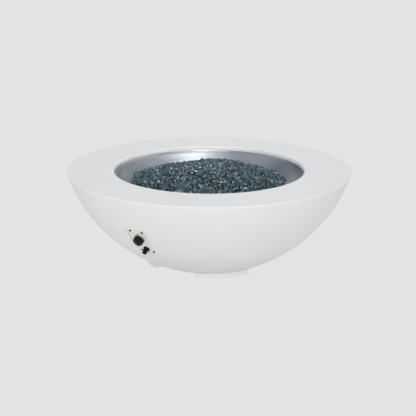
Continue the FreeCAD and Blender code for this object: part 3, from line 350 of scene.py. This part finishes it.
CONCRETE = concrete("cast_concrete", (0.785, 0.786, 0.780), (0.821, 0.822, 0.816), (0.72, 0.715, 0.70), 0.62)
FOOT = concrete("foot_cast", (0.779, 0.787, 0.789), (0.815, 0.824, 0.826), (0.71, 0.71, 0.70), 0.0)
LOOKS = {
    "concrete": CONCRETE,
    "foot_concrete": FOOT,
    "rubber": coat("pad_rubber", (0.018, 0.018, 0.018), (0.034, 0.033, 0.032), (0.72, 0.86), 700.0, 0.00012, 0.3),
    "plate_paint": coat("plate_coat", (0.83, 0.815, 0.765), (0.87, 0.86, 0.815), (0.40, 0.50), 520.0, 0.00008, 0.3),
    "black_screw": coat("screw_black", (0.004, 0.004, 0.004), (0.009, 0.009, 0.010), (0.34, 0.46), 1500.0, 0.00003, 0.2),
    "brass": metal("turned_brass", (0.62, 0.42, 0.16), (0.74, 0.54, 0.24)),
    "spindle_steel": metal("turned_steel", (0.50, 0.50, 0.51), (0.60, 0.60, 0.61), (0.22, 0.32)),
    "black_plastic": coat("knob_plastic", (0.004, 0.004, 0.004), (0.008, 0.008, 0.009), (0.34, 0.46), 900.0, 0.00006, 0.16),
    "button_plastic": coat("button_gloss", (0.003, 0.003, 0.003), (0.006, 0.006, 0.007), (0.20, 0.28), 300.0, 0.00002, 0.16),
    "cell_jacket": coat("cell_jacket", (0.12, 0.14, 0.16), (0.16, 0.18, 0.20), (0.30, 0.36), 300.0, 0.00002),
    "gasket_fibre": fibre("woven_fibre"),
    "pan_steel": pan_steel(),
    "burner_steel": metal("burner_stainless", (0.38, 0.36, 0.33), (0.52, 0.50, 0.47), (0.30, 0.44)),
    "mixer_metal": metal("cast_alloy", (0.50, 0.50, 0.50), (0.60, 0.60, 0.60), (0.48, 0.62), (1, 1, 1), 420.0, 0.0002),
    "ceramic": coat("glazed_white", (0.80, 0.79, 0.76), (0.88, 0.87, 0.84), (0.14, 0.22), 200.0, 0.00003),
    "copper": metal("drawn_copper", (0.60, 0.30, 0.18), (0.74, 0.42, 0.28), (0.24, 0.36)),
    "hose_steel": metal("hose_stainless", (0.50, 0.50, 0.49), (0.62, 0.62, 0.61), (0.24, 0.34)),
    "lead_silicone": coat("red_silicone", (0.36, 0.035, 0.025), (0.46, 0.055, 0.04), (0.45, 0.60), 600.0, 0.00005, 0.4),
    "fire_glass": bed_glass(),
}

slot_of = {s["node"]: s["material_slot"] for s in frame["record"]["subparts"]}
for name, node in NODES.items():
    look = LOOKS[slot_of[name]]
    if not node.material_slots:
        node.data.materials.append(look)
    for s in node.material_slots:
        s.material = look


def piece(name, mesh, body, look, slot, *stands_for):
    o = bpy.data.objects.new(name, mesh)
    scene.collection.objects.link(o)
    mesh.materials.clear()
    mesh.materials.append(look)
    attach(o, body)
    if stands_for:
        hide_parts(*stands_for)
    return o


# ---------------------------------------------------------------- fire glass
# Crushed tempered glass breaks into dice. Each chip is an irregular prism with
# its edges worn; some two thousand of them lie in two loose layers on a bed that
# fills the pan.
CONTACT_R, EDGE_Z, CROWN_Z = 0.289, 0.3225, 0.374
FLOOR_Z, FLOOR_R = 0.2838, 0.1764
HEAP_AT = (-0.003, -0.014)


def dome_z(x, y):
    """Height of the heap's surface, x and y from the heap's own middle: a blunt
    cone that runs out thinly on the pan's slope, with a low ridge at the back, a
    little to the right."""
    s = (np.sqrt(np.square(x) + np.square(y) + 0.0036) - 0.06) / 0.2352
    heap = CROWN_Z - 0.0015 - (CROWN_Z - 0.0015 - EDGE_Z) * s
    ridge = (0.0105 - 0.020 * np.clip(x, -0.03, 0.13)) * np.exp(
        -np.power((x - 0.050) / 0.092, 4) - np.square((y - 0.222) / 0.062))
    return np.minimum(heap + ridge, CROWN_Z - 0.001)


def chip_shapes(count, rng):
    """Prototype chips about 1 across: (vertices, faces, smooth flags)."""
    out = []
    for _ in range(count):
        n = rng.choice([3, 4, 4, 5, 5])
        h = rng.uniform(0.24, 0.42)
        ring = []
        for k in range(n):
            a = 2 * math.pi * (k + rng.uniform(-0.26, 0.26)) / n
            r = rng.uniform(0.40, 0.56)
            ring.append((r * math.cos(a) * 1.18, r * math.sin(a) * 0.88))
        lean = (rng.uniform(-0.10, 0.10), rng.uniform(-0.10, 0.10))
        bm = bmesh.new()
        for x, y in ring:
            bm.verts.new((x + rng.uniform(-0.04, 0.04), y + rng.uniform(-0.04, 0.04),
                          -h + rng.uniform(-0.05, 0.05)))
            bm.verts.new((x * rng.uniform(0.84, 1.02) + lean[0], y * rng.uniform(0.84, 1.02) + lean[1],
                          h + rng.uniform(-0.07, 0.07)))
        hull = bmesh.ops.convex_hull(bm, input=list(bm.verts))
        loose = [e for e in hull["geom_interior"] if isinstance(e, bmesh.types.BMVert)]
        if loose:
            bmesh.ops.delete(bm, geom=loose, context="VERTS")
        bmesh.ops.dissolve_limit(bm, angle_limit=math.radians(14), verts=list(bm.verts), edges=list(bm.edges))
        flat = {f.index for f in bm.faces}
        bm.faces.ensure_lookup_table()
        mark = bm.faces.layers.int.new("flat")
        for f in bm.faces:
            f[mark] = 1
        made = bmesh.ops.bevel(bm, geom=list(bm.edges), offset=rng.uniform(0.05, 0.085), segments=1,
                               profile=0.6, affect="EDGES", clamp_overlap=True)
        for f in made["faces"]:
            f[mark] = 0
        bmesh.ops.remove_doubles(bm, verts=list(bm.verts), dist=1e-4)
        bmesh.ops.recalc_face_normals(bm, faces=list(bm.faces))
        bm.verts.index_update()
        verts = np.array([v.co for v in bm.verts], float)
        faces = [[v.index for v in f.verts] for f in bm.faces]
        smooth = [f[mark] == 0 for f in bm.faces]
        bm.free()
        verts -= verts.mean(0)
        out.append((verts, faces, smooth))
    return out


def chip_places(rng):
    """Centres and sizes of the chips: scattered in layers under the dome, then
    pushed apart until neighbours hardly overlap."""
    pts, rad = [], []
    for layer, (depth, gap) in enumerate(((0.0065, 0.0120), (0.0160, 0.0132))):
        edge = CONTACT_R + 0.001 - layer * 0.020
        rows = int(2 * edge / (gap * 0.87)) + 2
        for i in range(rows):
            y = -edge + i * gap * 0.87
            for k in range(int(2 * edge / gap) + 2):
                x = -edge + (k + 0.5 * (i % 2)) * gap
                x1 = x + rng.uniform(-0.36, 0.36) * gap
                y1 = y + rng.uniform(-0.36, 0.36) * gap
                r = math.hypot(x1, y1)
                if r > edge:
                    continue
                size = min(max(rng.gauss(0.0068, 0.0013), 0.0044), 0.0096)
                # smaller pieces have run out to the edge
                size *= 1.0 - 0.28 * min(max((r - CONTACT_R + 0.026) / 0.024, 0.0), 1.0)
                z = float(dome_z(x1, y1)) - depth + rng.uniform(-0.0034, 0.0034)
                pts.append((x1, y1, z))
                rad.append(size)
    pts, rad = np.array(pts), np.array(rad)
    for _ in range(7):
        tree = KDTree(len(pts))
        for i, q in enumerate(pts):
            tree.insert(q, i)
        tree.balance()
        push = np.zeros_like(pts)
        for i, q in enumerate(pts):
            for co, j, d in tree.find_range(q, 0.0166):
                if j <= i:
                    continue
                want = 0.86 * (rad[i] + rad[j])
                if 1e-6 < d < want:
                    step = (pts[i] - pts[j]) / d * (want - d) * 0.33
                    push[i] += step
                    push[j] -= step
        push[:, 2] *= 0.55
        pts += push
        r = np.hypot(pts[:, 0], pts[:, 1])
        heap = dome_z(pts[:, 0], pts[:, 1])
        pts[:, 2] = np.clip(pts[:, 2], heap - 0.027, heap - rad * 0.92 + 0.0026)
        out = r > CONTACT_R + 0.002
        pts[out, :2] *= ((CONTACT_R + 0.002) / r[out])[:, None]
    return pts, rad


def random_turn(rng):
    q = [rng.gauss(0, 1) for _ in range(4)]
    n = math.sqrt(sum(c * c for c in q))
    w, x, y, z = [c / n for c in q]
    return np.array([
        [1 - 2 * (y * y + z * z), 2 * (x * y - z * w), 2 * (x * z + y * w)],
        [2 * (x * y + z * w), 1 - 2 * (x * x + z * z), 2 * (y * z - x * w)],
        [2 * (x * z - y * w), 2 * (y * z + x * w), 1 - 2 * (x * x + y * y)],
    ])


def build_chips(look):
    rng = random.Random(4177)
    shapes = chip_shapes(36, rng)
    pts, rad = chip_places(rng)
    sectors = 6
    which = ((np.arctan2(pts[:, 1], pts[:, 0]) + math.pi) / (2 * math.pi) * sectors).astype(int) % sectors
    slope = math.tan(math.radians(18))
    for s in range(sectors):
        co, loops, starts, totals, smooth, tags, tones = [], [], [], [], [], [], []
        base = at = 0
        for i in np.nonzero(which == s)[0]:
            verts, faces, flags = shapes[rng.randrange(len(shapes))]
            scale = rad[i] * 2.0 * np.array([rng.uniform(0.92, 1.16), rng.uniform(0.86, 1.05), rng.uniform(0.86, 1.06)])
            v = (verts * scale) @ random_turn(rng).T
            # the outermost pieces lie flat on the pan's slope
            out = min(max((math.hypot(pts[i][0], pts[i][1]) - CONTACT_R + 0.024) / 0.020, 0.0), 1.0)
            v[:, 2] *= 1.0 - 0.42 * out
            ray = pts[i][:2] / max(math.hypot(pts[i][0], pts[i][1]), 1e-6)
            v[:, 2] += out * slope * (v[:, :2] @ ray)
            v += pts[i] + np.array([HEAP_AT[0], HEAP_AT[1], 0.0])
            # nothing stands above the heap's highest point or dips into the pan
            v[:, 2] -= max(0.0, v[:, 2].max() - (CROWN_Z - 0.0002))
            r = np.hypot(v[:, 0], v[:, 1])
            wall = 0.3409 - (0.358 - r) * slope + 0.0015
            v[:, 2] += max(0.0, float((wall - v[:, 2]).max()) + 0.0004)
            co.append(v)
            tag = (rng.random(), rng.random(), rng.random(), 1.0)
            tags.extend([tag] * len(v))
            for f, flag in zip(faces, flags):
                loops.extend(base + k for k in f)
                starts.append(at)
                totals.append(len(f))
                smooth.append(flag)
                tones.append(rng.random())
                at += len(f)
            base += len(v)
        mesh = bpy.data.meshes.new("glass_chips_%d" % s)
        co = np.concatenate(co)
        mesh.vertices.add(len(co))
        mesh.vertices.foreach_set("co", co.astype(np.float32).ravel())
        mesh.loops.add(len(loops))
        mesh.loops.foreach_set("vertex_index", np.array(loops, np.int32))
        mesh.polygons.add(len(starts))
        mesh.polygons.foreach_set("loop_start", np.array(starts, np.int32))
        mesh.polygons.foreach_set("loop_total", np.array(totals, np.int32))
        mesh.polygons.foreach_set("use_smooth", np.array(smooth, bool))
        layer = mesh.attributes.new("chip", "FLOAT_COLOR", "POINT")
        layer.data.foreach_set("color", np.array(tags, np.float32).ravel())
        layer = mesh.attributes.new("facet", "FLOAT", "FACE")
        layer.data.foreach_set("value", np.array(tones, np.float32))
        mesh.update(calc_edges=True)
        mesh.validate()
        piece("glass_chips_%d" % s, mesh, "bowl", look, "fire_glass")


def cone_z(r):
    """Height of the pan's sloping wall at radius r."""
    return 0.3409 - (0.358 - r) * math.tan(math.radians(18)) + 0.0004


def build_bed(look):
    """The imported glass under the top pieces: one closed solid, its top uneven
    and lower than the chips."""
    rng = random.Random(99)
    steps, turns = 42, 120
    co = [(*HEAP_AT, float(dome_z(0.0, 0.0)) - 0.017)]
    for i in range(1, steps + 1):
        r = (CONTACT_R - 0.012) * i / steps
        for k in range(turns):
            a = 2 * math.pi * k / turns
            x, y = r * math.cos(a), r * math.sin(a)
            z = float(dome_z(x, y)) - 0.0170 + rng.uniform(-0.0018, 0.0018)
            x, y = x + HEAP_AT[0], y + HEAP_AT[1]
            co.append((x, y, max(z, cone_z(math.hypot(x, y)) + 0.0024)))
    for k in range(turns):
        a = 2 * math.pi * k / turns
        r = CONTACT_R - 0.014
        x, y = r * math.cos(a) + HEAP_AT[0], r * math.sin(a) + HEAP_AT[1]
        co.append((x, y, cone_z(math.hypot(x, y)) + 0.0012))
    for k in range(turns):
        a = 2 * math.pi * k / turns
        co.append((FLOOR_R * math.cos(a), FLOOR_R * math.sin(a), FLOOR_Z + 0.0004))
    co.append((0.0, 0.0, FLOOR_Z + 0.0004))
    faces = []
    for k in range(turns):
        faces.append((0, 1 + k, 1 + (k + 1) % turns))
    total = steps + 2
    for i in range(total - 1):
        a0, b0 = 1 + i * turns, 1 + (i + 1) * turns
        for k in range(turns):
            m = (k + 1) % turns
            faces.append((a0 + k, b0 + k, b0 + m, a0 + m))
    last = 1 + (total - 1) * turns
    for k in range(turns):
        faces.append((last + (k + 1) % turns, last + k, len(co) - 1))
    mesh = bpy.data.meshes.new("glass_bed")
    mesh.from_pydata(co, [], faces)
    mesh.update()
    for f in mesh.polygons:
        f.use_smooth = True
    return piece("glass_bed", mesh, "bowl", look, "fire_glass", "fire_glass")


build_bed(LOOKS["fire_glass"])
build_chips(chip_glass())


# ------------------------------------------------------ corrugated gas line
AZ, PO = math.radians(-32.5), math.radians(51.5)
EX = Vector((math.cos(AZ), math.sin(AZ), 0))
EY = Vector((math.sin(AZ) * math.cos(PO), -math.cos(AZ) * math.cos(PO), math.sin(PO)))
EN = Vector((math.sin(AZ) * math.sin(PO), -math.cos(AZ) * math.sin(PO), -math.cos(PO)))


def on_panel(x, y, z):
    return EX * x + EY * y + EN * (z + 0.555) + Vector((0, 0, 0.5336))


def smooth_line(points):
    """The NURBS line that has these points as its control points."""
    data = bpy.data.curves.new("route", "CURVE")
    data.dimensions = "3D"
    data.resolution_u = 40
    sp = data.splines.new("NURBS")
    sp.points.add(len(points) - 1)
    for q, c in zip(sp.points, points):
        q.co = (*c, 1.0)
    sp.order_u = 3
    sp.use_endpoint_u = True
    o = bpy.data.objects.new("route", data)
    scene.collection.objects.link(o)
    bpy.context.view_layer.update()
    mesh = bpy.data.meshes.new_from_object(o.evaluated_get(bpy.context.evaluated_depsgraph_get()))
    line = [v.co.copy() for v in mesh.vertices]
    bpy.data.objects.remove(o)
    bpy.data.curves.remove(data)
    bpy.data.meshes.remove(mesh)
    return line


def build_flex_line(look):
    h0 = on_panel(-0.0222, -0.0223, -0.029)
    route = [h0, h0 - EY * 0.060, Vector((-0.160, -0.222, 0.100)), Vector((-0.092, -0.129, 0.062)),
             Vector((-0.0262, -0.0369, 0.0597)), Vector((0, 0, 0.105)), Vector((0, 0, 0.1667))]
    line = smooth_line(route)
    dist = [0.0]
    for a, b in zip(line, line[1:]):
        dist.append(dist[-1] + (b - a).length)
    total = dist[-1]
    pitch, sides, cuff = 0.0038, 20, 0.014
    stations, radii = [], []
    s = 0.0
    per = 6
    count = int(total / (pitch / per))
    for i in range(count + 1):
        s = total * i / count
        stations.append(s)
        if s < cuff or s > total - cuff:
            radii.append(0.0061)
        else:
            wave = 0.5 - 0.5 * math.cos(2 * math.pi * (s - cuff) / pitch)
            radii.append(0.00505 + 0.00130 * wave ** 0.7)
    side = None
    co, faces = [], []
    j = 0
    for s, rad in zip(stations, radii):
        while j < len(line) - 2 and dist[j + 1] < s:
            j += 1
        f = (s - dist[j]) / max(dist[j + 1] - dist[j], 1e-9)
        q = line[j].lerp(line[j + 1], f)
        along = (line[min(j + 2, len(line) - 1)] - line[max(j - 1, 0)]).normalized()
        if side is None:
            side = along.orthogonal().normalized()
        side = (side - along * side.dot(along)).normalized()
        up = along.cross(side)
        for k in range(sides):
            a = 2 * math.pi * k / sides
            co.append(q + side * (math.cos(a) * rad) + up * (math.sin(a) * rad))
    rows = len(stations)
    for i in range(rows - 1):
        for k in range(sides):
            m = (k + 1) % sides
            faces.append((i * sides + k, i * sides + m, (i + 1) * sides + m, (i + 1) * sides + k))
    faces.append(tuple(reversed(range(sides))))
    faces.append(tuple(range((rows - 1) * sides, rows * sides)))
    mesh = bpy.data.meshes.new("gas_line")
    mesh.from_pydata([tuple(c) for c in co], [], faces)
    mesh.update()
    for f in mesh.polygons:
        f.use_smooth = len(f.vertices) == 4
    return piece("gas_line", mesh, "bowl", look, "hose_steel", "gas_flex_line")


build_flex_line(LOOKS["hose_steel"])


# --------------------------------------------------------- floor and lights
def build_floor():
    bpy.ops.mesh.primitive_circle_add(vertices=96, radius=45.0, fill_type="NGON", location=(0, 0, -0.0006))
    floor = bpy.context.object
    floor.name = "floor"
    mat = bpy.data.materials.new("floor_paper")
    mat.use_nodes = True
    t = Tree(mat.node_tree)
    tree = mat.node_tree
    tree.nodes.clear()
    out = t.node("ShaderNodeOutputMaterial")
    glow = t.node("ShaderNodeEmission")
    glow.inputs["Color"].default_value = (0.776, 0.776, 0.776, 1)
    glow.inputs["Strength"].default_value = 1.0
    matte = t.node("ShaderNodeBsdfDiffuse")
    matte.inputs["Color"].default_value = (0.80, 0.80, 0.80, 1)
    mix = t.node("ShaderNodeMixShader")
    mix.inputs[0].default_value = 0.04
    tree.links.new(glow.outputs[0], mix.inputs[1])
    tree.links.new(matte.outputs[0], mix.inputs[2])
    tree.links.new(mix.outputs[0], out.inputs["Surface"])
    floor.data.materials.append(mat)


def build_world():
    world = bpy.data.worlds.new("studio")
    scene.world = world
    world.use_nodes = True
    t = Tree(world.node_tree)
    back = world.node_tree.nodes["Background"]
    d = t.node("ShaderNodeTexCoord").outputs["Generated"]
    x, y, z = t.split(d)
    # a pale room in front and at the left, a darker one behind, lighter to the right
    near = t.blend(t.span(x, 0.20, 0.95, smooth=True), (0.92, 0.925, 0.94), (0.88, 0.885, 0.90))
    near = t.blend(t.span(t.math("MULTIPLY", x, -1.0), 0.30, 0.95, smooth=True), near, (1.00, 1.005, 1.02))
    near = t.scaled(near, t.span(z, 0.02, 0.30, 0.74, 1.0, smooth=True))
    near = t.blend(t.span(z, 0.45, 0.95, smooth=True), near, (0.53, 0.54, 0.56))
    far_left = t.blend(t.span(z, 0.60, 0.86, smooth=True), (0.30, 0.34, 0.385), (0.78, 0.82, 0.86))
    far_right = t.blend(t.span(z, 0.56, 0.82, smooth=True), (0.58, 0.585, 0.60), (0.95, 0.97, 1.0))
    far = t.blend(t.span(x, -0.16, 0.16, smooth=True), far_left, far_right)
    color = t.blend(t.span(y, 0.15, 0.60, smooth=True), near, far)
    t.put(back, "Color", color)
    back.inputs["Strength"].default_value = 1.0


def area(name, place, target, size, power, color=(1, 1, 1), size_y=None):
    data = bpy.data.lights.new(name, "AREA")
    data.energy = power
    data.color = color
    data.size = size
    if size_y:
        data.shape = "RECTANGLE"
        data.size_y = size_y
    o = bpy.data.objects.new(name, data)
    scene.collection.objects.link(o)
    o.location = place
    o.rotation_euler = (Vector(target) - Vector(place)).to_track_quat("-Z", "Y").to_euler()
    return o


build_floor()
build_world()
area("front_soft", (-0.9, -5.7, 3.9), (0, 0, 0.25), 3.6, 103)
area("front_strip", (1.10, -4.1, 1.7), (0, 0, 0.35), 0.8, 14, size_y=2.4)
area("top_back", (0.16, 2.4, 3.1), (0, 0.2, 0.35), 0.18, 17, size_y=0.9)
